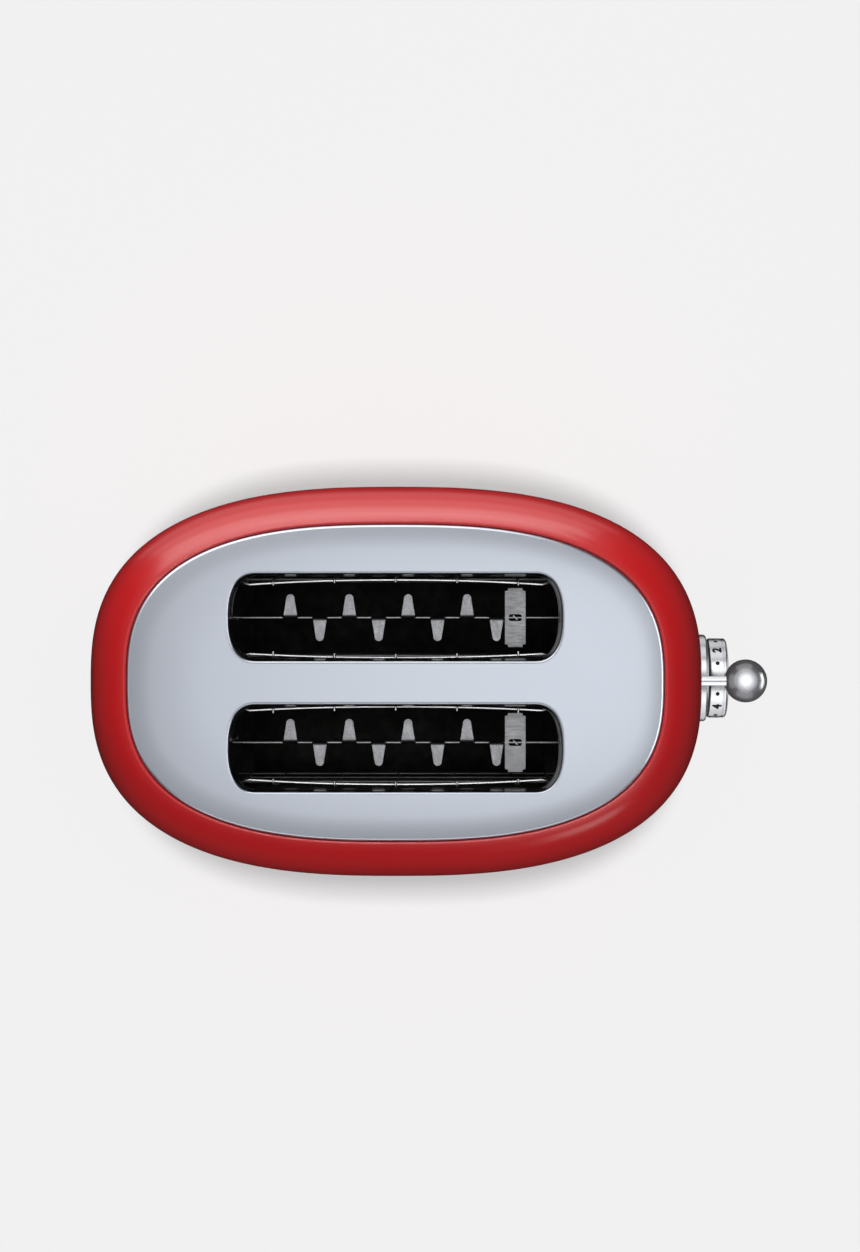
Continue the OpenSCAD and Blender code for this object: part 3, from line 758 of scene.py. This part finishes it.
def lever():
    x0, _, y0, y1, _, _ = extent("lever_arm")
    r = (y1 - y0) / 2
    rows = [(r - 0.3, x0)] + [(r, x0 + 0.3 + (BALL_X - 7.8 - x0) * k / 12) for k in range(13)]
    Shape().turned(rows, 0, LEVER_Z, 64, True, True).make(
        "lever_rod", chrome, "carriage", "chrome_trim", ["lever_arm"])
    radius = (ball_high.z - ball_low.z) / 2 / MM
    back = BALL_X - radius
    profile = [(r + 0.02, back + 4.4), (r + 0.9, back + 4.1), (r + 1.15, back + 3.4), (r + 1.15, back + 1.25),
               (r + 1.3, back + 0.88)]
    start = math.asin((r + 1.55) / radius)
    steps = 48
    for k in range(steps + 1):
        a = start + (math.pi - start) * k / steps
        profile.append((max(radius * math.sin(a), 0.02), BALL_X - radius * math.cos(a)))
    Shape().turned(profile, 0, LEVER_Z, 96, False, True).make(
        "chrome_lever_ball", satin_chrome, "carriage", "chrome_trim", ["lever_ball"], sharp=40)


lever()


# ---------- Dial and buttons ----------


def dial():
    x0, x1 = extent("knob_bezel")[:2]
    r = 23.15
    profile = [(19.8, x0 + 1), (25.4, x0 + 1), (25.4, x0 + 1.8), (r, x0 + 2.0), (r, x1 - 1.5), (r - 0.15, x1 - 0.7),
               (r - 0.55, x1 - 0.18), (r - 1.1, x1), (r - 1.7, x1 - 0.2), (r - 2.0, x1 - 0.8), (r - 2.1, x1 - 2.0)]
    Shape().turned(profile, 0, KNOB_Z, 128).make("dial_ring", turned_steel, "housing", "chrome_trim", ["knob_bezel"])
    Shape().turned([(r - 2.1, x1 - 2.0), (12, x1 - 2.2), (3.2, x1 - 2.2)], 0, KNOB_Z, 96).make(
        "dial_ring_floor", black_plastic, "housing", "black_plastic")

    x0, x1, y0, y1, _, _ = extent("control_knob")
    r = (y1 - y0) / 2
    profile = [(3.0, x0), (r - 1.0, x0), (r - 0.3, x0 + 0.25), (r, x0 + 0.9), (r, x1 - 2.9), (r - 0.28, x1 - 2.75),
               (r - 0.28, x1 - 2.35), (r, x1 - 2.2), (r, x1 - 1.3), (r - 0.3, x1 - 0.55), (r - 0.9, x1 - 0.1),
               (r - 1.5, x1), (r - 2.2, x1 - 0.05), (r - 2.6, x1 - 0.4), (r - 3.4, x1 - 0.9), (12, x1 - 1.15),
               (6.2, x1 - 1.2), (5.9, x1 - 0.95), (5.4, x1 - 0.8), (0.02, x1 - 0.75)]
    Shape().turned(profile, 0, KNOB_Z, 128, False, True).make(
        "satin_dial", turned_steel, "dial", "chrome_trim", ["control_knob"], sharp=34)
    mark = Shape().slab(rounded(0.55, 4.6, 0.5, 5, (0, KNOB_Z + 11.6)), x1 - 1.25, x1 - 0.75, "x", 0.1)
    mark.make("dial_pointer_mark", black_paint, "dial", "black_plastic")

    # Browning numbers and the dots between them, printed round the dial
    paint = Shape()
    scale_x = x0 + 3.8
    for level in range(1, 7):
        curve = bpy.data.curves.new("number", "FONT")
        curve.body = str(level)
        curve.resolution_u = 6
        curve.offset = 0.045
        temp = bpy.data.objects.new("number", curve)
        scene.collection.objects.link(temp)
        graph = bpy.context.evaluated_depsgraph_get()
        flat = bpy.data.meshes.new_from_object(temp.evaluated_get(graph))
        xs = [v.co.x for v in flat.vertices]
        ys = [v.co.y for v in flat.vertices]
        size = 5.0 / (max(ys) - min(ys))
        mid_x, mid_y = (max(xs) + min(xs)) / 2, (max(ys) + min(ys)) / 2
        angle = math.radians(45 * (3 - level))
        base = len(paint.points)
        for v in flat.vertices:
            turn = angle + (v.co.x - mid_x) * size / r
            rise = r + 0.14
            paint.points.append((scale_x - (v.co.y - mid_y) * size, rise * math.sin(turn),
                                 KNOB_Z + rise * math.cos(turn)))
        paint.faces.extend(tuple(base + i for i in face.vertices) for face in flat.polygons)
        bpy.data.objects.remove(temp)
        bpy.data.curves.remove(curve)
        bpy.data.meshes.remove(flat)
    for k in range(5):
        angle = math.radians(67.5 - 45 * k)
        base = len(paint.points)
        for i in range(20):
            a = 2 * math.pi * i / 20
            turn = angle + 1.05 * math.cos(a) / r
            paint.points.append((scale_x + 1.05 * math.sin(a), (r + 0.12) * math.sin(turn),
                                 KNOB_Z + (r + 0.12) * math.cos(turn)))
        paint.faces.append(tuple(base + i for i in range(20)))
    paint.make("browning_numbers", black_paint, "dial", "black_plastic")


dial()


def buttons():
    x1 = extent("button_bezels")[1]
    rings = Shape()
    profile = [(4.9, x1 - 8), (6.2, x1 - 8), (6.2, x1 - 0.9), (6.05, x1 - 0.35), (5.75, x1), (5.4, x1),
               (5.05, x1 - 0.25), (4.9, x1 - 0.8), (4.9, x1 - 8)]
    for k in (-1, 0, 1):
        rings.turned(profile, k * BUTTON_PITCH, BUTTON_Z, 64)
    rings.make("button_rings", chrome, "housing", "chrome_trim", ["button_bezels"])
    for name, k in (("stop", -1), ("reheat", 0), ("defrost", 1)):
        x0, x1 = extent(f"button_{name}")[:2]
        profile = [(0.05, x0), (2.0, x0), (2.0, x1 - 9.5), (4.5, x1 - 9.5), (4.5, x1 - 0.9), (4.38, x1 - 0.4),
                   (4.05, x1 - 0.1), (3.6, x1), (3.1, x1 - 0.06), (1.6, x1 - 0.22), (0.02, x1 - 0.27)]
        Shape().turned(profile, k * BUTTON_PITCH, BUTTON_Z, 64, True, True).make(
            f"{name}_push_button", turned_steel, f"{name}_button", "chrome_trim", [f"button_{name}"], sharp=34)


buttons()


# ---------- Racks, saddles and guides ----------

TOOTH_X0 = -54.7
TOOTH_PITCH = 15.1
RACK_LOW, RACK_Z = extent("bread_rack_right")[4:]


def tooth(shape, x, y, way):
    """A tooth cut from the strip and bent over to one side."""
    bend, reach, root, tip = 1.6, 12.0, 3.5, 2.2
    top = RACK_Z - 0.5
    path = [(0.0, top - 4.5), (0.0, top - bend - 0.4)]
    for k in range(7):
        a = math.pi / 2 * k / 6
        path.append((bend * (1 - math.cos(a)), top - bend + bend * math.sin(a)))
    flat = reach - bend
    stops = [0.12, 0.3, 0.5, 0.68] + [1 - tip / flat * (1 - math.sin(math.pi / 2 * k / 8)) for k in range(9)]
    path += [(bend + flat * s, top) for s in stops]
    rings = []
    for k, (out, z) in enumerate(path):
        before, after = path[max(k - 1, 0)], path[min(k + 1, len(path) - 1)]
        ahead = Vector((after[0] - before[0], after[1] - before[1])).normalized()
        normal = Vector((-ahead.y, ahead.x))
        half = root - (root - tip) * max(out - bend, 0) / (reach - tip - bend)
        from_tip = reach - out
        if from_tip < tip:
            half = tip * math.sqrt(max(1 - (1 - from_tip / tip) ** 2, 0.0)) + 0.05
        ease = min(0.14, half * 0.5)
        ring = []
        for u, v in ((-half + ease, -0.5), (half - ease, -0.5), (half - 0.04, -0.44), (half, -0.34), (half, 0.34),
                     (half - 0.04, 0.44), (half - ease, 0.5), (-half + ease, 0.5), (-half + 0.04, 0.44),
                     (-half, 0.34), (-half, -0.34), (-half + 0.04, -0.44)):
            ring.append((x + u, y + way * (out + normal.x * v), z + normal.y * v))
        rings.append(ring)
    shape.loft(rings, cap_start=True, cap_end=True)


def rack(side, name):
    x0, x1 = extent(f"bread_rack_{name}")[:2]
    y = side * SLOT_Y
    shape = Shape()
    top = [(x0, RACK_Z)]
    for k in range(8):
        x = TOOTH_X0 + k * TOOTH_PITCH
        tooth(shape, x, y, 1 if k % 2 == 0 else -1)
        top += [(x - 4.0, RACK_Z), (x - 4.0, RACK_Z - 3.2), (x - 3.6, RACK_Z - 3.6), (x + 3.6, RACK_Z - 3.6),
                (x + 4.0, RACK_Z - 3.2), (x + 4.0, RACK_Z)]
    outline = [(x0, RACK_LOW), (x1, RACK_LOW), (x1, RACK_Z)] + list(reversed(top))
    shape.slab(outline, y - 0.36, y + 0.36, "y", 0.1)
    shape.make(f"toothed_rack_{name}", brushed, "carriage", "galvanised_steel", [f"bread_rack_{name}"], sharp=22)

    x0, x1, y0, y1, z0, z1 = extent(f"rack_saddle_{name}")
    x, half_x, half_y = (x0 + x1) / 2, (x1 - x0) / 2, (y1 - y0) / 2
    notch = 1.6
    corner = []
    for sx, sy in ((1, 1), (-1, 1), (-1, -1), (1, -1)):
        steps = [(half_x, half_y - notch), (half_x - notch * 0.25, half_y - notch * 0.95),
                 (half_x - notch * 0.95, half_y - notch * 0.75), (half_x - notch, half_y)]
        steps = [(x + sx * px, y + sy * py) for px, py in steps]
        corner += steps if sx * sy > 0 else list(reversed(steps))
    plate = Shape().slab(corner, z0, z1, "z", 0.22)
    saddle = plate.make(f"saddle_plate_{name}", saddle_steel, "carriage", "galvanised_steel", [f"rack_saddle_{name}"],
                        sharp=22)
    hole = Shape().slab(rounded(3.3, 1.75, 1.0, 5, (x, y)), z0 - 1, z1 + 1, "z")
    cut(saddle, hole.make("saddle_cutter", saddle_steel, None), 22)
    rings = []
    turn = math.radians(-42)
    for k in range(7):
        z = z0 - 1.4 + 2.6 * k / 6
        rings.append([(x + px * math.cos(turn) - py * math.sin(turn), y + px * math.sin(turn) + py * math.cos(turn), z)
                      for px, py in rounded(2.1 - 0.1 * k, 0.36, 0.12, 2)])
    Shape().loft(rings, cap_start=True, cap_end=True).make(
        f"twisted_tab_{name}", brushed, "carriage", "galvanised_steel", sharp=40)


rack(-1, "left")
rack(1, "right")


def wire_guide(name, side, wall):
    """Welded wire grid: bowed top wire with hooked ends, two straight wires, five uprights."""
    _, x_end, _, _, z0, z1 = extent(f"guide_{name}")
    z0, z1 = z0 + 1.1, z1 - 0.5
    centre = side * SLOT_Y
    outer = side * wall > 0
    top_mid, top_end = (18.5, 16.2) if outer else (20.0, 18.1)
    over = 0.9 if outer else 1.6
    flat = 19.5
    shape, grid = Shape(), Shape()

    def top_off(x):
        return top_mid - (top_mid - top_end) * abs(x / 72) ** 2.2

    def at(x, off, z):
        return (x, centre + wall * off, z)

    path = [at(x, top_off(x), z1) for x in (-72 + 144 * k / 40 for k in range(41))]
    for end in (-1, 1):
        hook = [at(end * 74, top_end + 0.5, z1 - 0.3), at(end * 76, top_end + 1.3, z1 - 1.4),
                at(end * 77.6, top_end + 2.2, z1 - 3.4), at(end * 78.4, top_end + 2.8, z1 - 7),
                at(end * 78.8, flat, z1 - 16), at(end * 78.8, flat, 110), at(end * 78.8, flat, z0 + 1)]
        path = path + hook if end > 0 else list(reversed(hook)) + path
    shape.tube(path, 0.65, 12)
    grid.tube([at(x, flat, z0) for x in (-x_end + 0.4, 0, x_end - 0.4)], 1.1, 16)
    for z in (100, 140):
        grid.tube([at(x, flat, z) for x in (-76.8, 0, 76.8)], 0.8, 12)
    for k in range(-2, 3):
        x = k * 2 * TOOTH_PITCH
        out, tip = flat + 1.15, top_off(x)
        join = at(x, 0.4 * out + 0.6 * (tip + 1.4), 165)
        grid.tube([at(x, flat, z0), at(x, out, z0 + 3), at(x, out, 142), join], 0.7, 10)
        shape.tube([join, at(x, tip + 1.4, z1 - 1.5), at(x, tip + 1.3, z1 + 0.5), at(x, tip + 0.6, z1 + 1.35),
                    at(x, tip - 0.5, z1 + 1.4), at(x, tip - over, z1 + 0.9)], 0.62, 10)
    shape.make(f"wire_guide_{name}", guide_wire, f"{name}_guide", "guide_wire", [f"guide_{name}"], sharp=50)
    grid.make(f"grid_of_guide_{name}", darker_grid_wire, f"{name}_guide", "guide_wire", sharp=50)


for guide_name, guide_side, guide_wall in (("left_outer", -1, -1), ("left_inner", -1, 1),
                                           ("right_inner", 1, -1), ("right_outer", 1, 1)):
    wire_guide(guide_name, guide_side, guide_wall)


# ---------- Lift spring ----------


def lift_spring():
    x0, x1, y0, y1, z0, z1 = extent("lift_spring")
    x, wire, turns = (x0 + x1) / 2, 0.6, 13
    mean = (y1 - y0) / 2 - wire
    lead = 1.2 / turns
    path = []
    steps = turns * 24
    for k in range(steps + 1):
        share = k / steps
        rise = min(max((share - lead) / (1 - 2 * lead), 0.0), 1.0)
        a = 2 * math.pi * turns * share
        path.append((x + mean * math.cos(a), mean * math.sin(a), z0 + wire + (z1 - z0 - 2 * wire) * rise))
    spring = Shape().tube(path, wire, 8).make("coiled_lift_spring", spring_steel, "housing", "spring_steel",
                                              ["lift_spring"], sharp=60)
    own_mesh(spring)


lift_spring()


# ---------- CAD nodes that keep their shape ----------

KEPT = (
    (black_plastic, "bottom_cover gland_nut lever_slot_guard main_switch board_components potentiometer "
                    "tact_switches tray_rails knob_hub"),
    # Chassis, reflectors, divider and crumb tray take the near-black painted shade of the slots' inside
    (slot_shade_steel, "chassis_base side_reflector_left side_reflector_right centre_divider crumb_tray"),
    (galvanised, "chassis_posts rod_bridge magnet_bracket carriage_bracket"),
    (spring_steel, "foot_screws guide_rod knob_spindle"),
    (frame_steel, "end_frame_front end_frame_rear"),
    # Heater boards take the near-black painted shade of the slots' inside
    (mica, "heater_boards_left heater_boards_right"),
    (ribbon, "heating_ribbons_left heating_ribbons_right"),
    (soft_iron, "magnet_core armature"), (copper, "magnet_coil"), (board_green, "control_board"),
    (ivory, "terminal_block carriage_bush"))
for look, names in KEPT:
    for node in names.split():
        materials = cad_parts[node].data.materials
        materials.clear()
        materials.append(look.material)


# ---------- Floor, light and camera ----------

bpy.ops.mesh.primitive_plane_add(size=5, location=(0, 0, 0))
floor = bpy.context.object
floor.name = "floor"
floor.data.materials.append(floor_paint.material)
floor.visible_glossy = False
floor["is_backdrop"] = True

world = bpy.data.worlds.new("studio")
scene.world = world
world.use_nodes = True
nodes, links = world.node_tree.nodes, world.node_tree.links
background = nodes["Background"]
sky_place = nodes.new("ShaderNodeTexCoord")
split = nodes.new("ShaderNodeSeparateXYZ")
ramp = nodes.new("ShaderNodeValToRGB")
path_info = nodes.new("ShaderNodeLightPath")
choose = nodes.new("ShaderNodeMix")
choose.data_type = "RGBA"
span = nodes.new("ShaderNodeMapRange")
span.inputs["From Min"].default_value = -1
span.inputs["From Max"].default_value = 1
links.new(sky_place.outputs["Generated"], split.inputs[0])
links.new(split.outputs["Z"], span.inputs["Value"])
links.new(span.outputs["Result"], ramp.inputs["Fac"])
stops = ((0.0, 0.01), (0.5, 0.02), (0.65, 0.05), (0.8, 0.12), (0.9, 0.35), (1.0, 0.6))
while len(ramp.color_ramp.elements) < len(stops):
    ramp.color_ramp.elements.new(0.5)
for element, (where, level) in zip(ramp.color_ramp.elements, stops):
    element.position = where
    element.color = (level, level, level * 1.02, 1)
links.new(path_info.outputs["Is Camera Ray"], choose.inputs["Factor"])
links.new(ramp.outputs["Color"], choose.inputs["A"])
choose.inputs["B"].default_value = (0.88, 0.88, 0.88, 1)
links.new(choose.outputs["Result"], background.inputs["Color"])


def group(name, pieces):
    """A collection of the pieces that a light reaches."""
    members = bpy.data.collections.new(name)
    scene.collection.children.link(members)
    for piece in pieces:
        members.objects.link(piece)
    return members


def lamp(name, from_zenith, azimuth, distance, size, radiance, reaches, diffuse=False, glossy=True, blockers=None):
    """A flat light that faces the object; its azimuth is 0 towards +X and 90 towards +Y."""
    data = bpy.data.lights.new(name, "AREA")
    data.shape = "RECTANGLE"
    data.size, data.size_y = size
    data.energy = radiance * math.pi * size[0] * size[1]
    obj = bpy.data.objects.new(name, data)
    scene.collection.objects.link(obj)
    lean, turn = math.radians(from_zenith), math.radians(azimuth)
    towards = Vector((math.sin(lean) * math.cos(turn), math.sin(lean) * math.sin(turn), math.cos(lean)))
    obj.location = Vector((BODY_X, 0, 0.17)) + towards * distance
    obj.rotation_mode = "QUATERNION"
    obj.rotation_quaternion = towards.to_track_quat("Z", "Y")
    obj.visible_diffuse = diffuse
    obj.visible_glossy = glossy
    obj.visible_camera = False
    obj.light_linking.receiver_collection = reaches
    if blockers:
        obj.light_linking.blocker_collection = blockers
    return obj


KINDS = {
    "shell": ("painted_body_shell", "lever_slot_rolled_edge", "rolled_inner_edge"),
    "plate": ("satin_top", "slot_rim"),
    "ball": ("chrome_lever_ball",),
    "control": ("dial", "satin_dial", "browning", "lever_rod", "knob"),
    "guide": ("wire_guide",),
    "trim": ("satin_base", "crumb_tray_front", "raised_side", "button_rings", "stop_", "reheat_", "defrost_",
             "lead_entry"),
    "other": ("",)}
# Pieces that nothing mirrors, so that the gloss near them stays clean
UNMIRRORED = ("painted_body_shell", "lever_slot_rolled_edge", "chrome_lever_ball", "lever_rod", "wire_guide")
members = {kind: [] for kind in KINDS}
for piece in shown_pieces():
    members[next(kind for kind, starts in KINDS.items() if piece.name.startswith(starts))].append(piece)
    piece.visible_glossy = not piece.name.startswith(UNMIRRORED)
object_group = group("object_pieces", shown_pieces())
body_group = group("body_pieces", [p for kind, some in members.items() if kind not in ("control", "ball")
                                   for p in some])
floor_group = group("floor_only", [floor])
shell_group, plate_group, control_group, ball_group, other_group, guide_group, side_trim_group = (
    group(f"{kind}_pieces", members[kind]) for kind in ("shell", "plate", "control", "ball", "other", "guide", "trim"))
trim_group = group("trim_and_dial_pieces",
                   members["trim"] + [p for p in members["control"] if p.name != "lever_rod"])

# The floor's light comes from nearly overhead, so the shadows are narrow and fade at the ends.
FAR = 6.0
for name, lean, turn, size, level in (("floor_front", 5.4, -90, (0.5, 0.52), 3.75),
                                      ("floor_back", 7.6, 90, (0.5, 0.52), 3.75),
                                      ("floor_middle", 1.1, 90, (0.5, 0.3), 1.45)):
    lamp(name, lean, turn, FAR, size, level * FAR ** 2 / (size[0] * size[1]), floor_group, True, False, body_group)
for name, lean, turn, level in (("object_back", 27, 90, 0.92), ("object_front", 42, -90, 1.24)):
    lamp(name, lean, turn, FAR, (3.2, 0.5), level * FAR ** 2 / 1.6, object_group, True, False)
lamp("shell_fill", 68, 94, 3.0, (1.5, 0.6), 15.5, shell_group, True, False)
lamp("shell_front_fill", 80, -70, 3.0, (0.8, 0.4), 14, shell_group, True, False)

# Panels that only the enamel mirrors, brightest high up behind the toaster
for name, lean, turn, size, radiance, diffuse in (
        ("shell_high", 59, 101, (2.0, 0.66), 2.3, True), ("shell_middle", 80, 98, (2.3, 0.66), 2.05, True),
        ("shell_low", 103, 98, (2.4, 0.66), 0.85, False), ("shell_lowest", 127, 98, (2.2, 0.66), 0.33, False)):
    lamp(name, lean, turn, 1.7, size, radiance, shell_group, diffuse)
lamp("shell_streak", 30, 112, 2.0, (1.0, 0.14), 20, shell_group)
lamp("shell_glint", 38, -58, 2.0, (0.9, 0.3), 7, shell_group)
lamp("shell_side", 72, -62, 1.6, (0.5, 0.4), 1.6, shell_group)

lamp("plate_glow", 7.2, 0, 2.2, (0.9, 1.22), 0.79, plate_group)
lamp("plate_back", 68, 112, 1.6, (2.2, 1.8), 1.95, plate_group)
lamp("plate_right", 62, 0, 1.6, (1.6, 0.8), 2.5, plate_group)
lamp("plate_left", 62, 180, 1.6, (1.6, 0.8), 0.6, plate_group)
lamp("plate_front", 66, -90, 1.6, (2.4, 0.6), 1.4, plate_group)

for name, lean, turn, radiance in (("control_back_high", 36, 90, 1.7), ("control_front_high", 56, -90, 1.7),
                                   ("control_back_level", 80, 90, 1.2), ("control_front_level", 90, -90, 1.25),
                                   ("control_back_low", 122, 90, 0.9), ("control_front_low", 126, -90, 0.9)):
    lamp(name, lean, turn, 1.4, (1.6, 0.9), radiance, control_group)

for name, distance, size, radiance in (("ball_glow", 2.0, 1.9, 0.4), ("ball_halo", 1.0, 1.8, 0.34),
                                       ("ball_wide_halo", 0.6, 2.4, 0.34)):
    glow = lamp(name, 7, 130, distance, (size, size), radiance, ball_group, blockers=ball_group)
    glow.data.shape = "DISK"
    glow.location.x += BALL_X * MM
for name, turn in (("ball_back", 90), ("ball_left", 180), ("ball_front", -90)):
    lamp(name, 84, turn, 1.3, (1.6, 1.2), 0.25, ball_group, blockers=ball_group)
lamp("ball_rim", 97, 0, 1.2, (0.9, 0.34), 2.4, ball_group)

lamp("inner_back", 50, 90, 1.8, (2.4, 1.2), 2.2, other_group)
lamp("inner_front", 50, -90, 1.8, (2.4, 1.2), 1.6, other_group)
lamp("inner_glow", 1.5, 90, 2.2, (0.7, 0.7), 1.25, other_group)
for name, turn, width, reaches in (("trim_right", 0, 1.8, trim_group), ("trim_left", 180, 1.8, trim_group),
                                   ("trim_back", 90, 2.6, side_trim_group), ("trim_front", -90, 2.6, side_trim_group)):
    for part, lean, level in (("high", 74, 0.75), ("low", 116, 0.6)):
        lamp(f"{name}_{part}", lean, turn, 1.5, (width, 1.5), level, reaches, blockers=body_group)
lamp("guide_glow", 1.5, 90, 2.2, (1.1, 1.1), 3.0, guide_group)
lamp("guide_back", 50, 90, 1.8, (2.4, 1.2), 1.4, guide_group)
lamp("guide_front", 50, -90, 1.8, (2.4, 1.2), 1.4, guide_group)

camera_data = bpy.data.cameras.new("camera")
camera_data.lens = 79.3
camera_data.sensor_width = 36
camera_data.clip_end = 50
camera = bpy.data.objects.new("camera", camera_data)
scene.collection.objects.link(camera)
camera.location = (0.0009, 0.0277, 1.542)
scene.camera = camera
scene.view_settings.view_transform = "Standard"
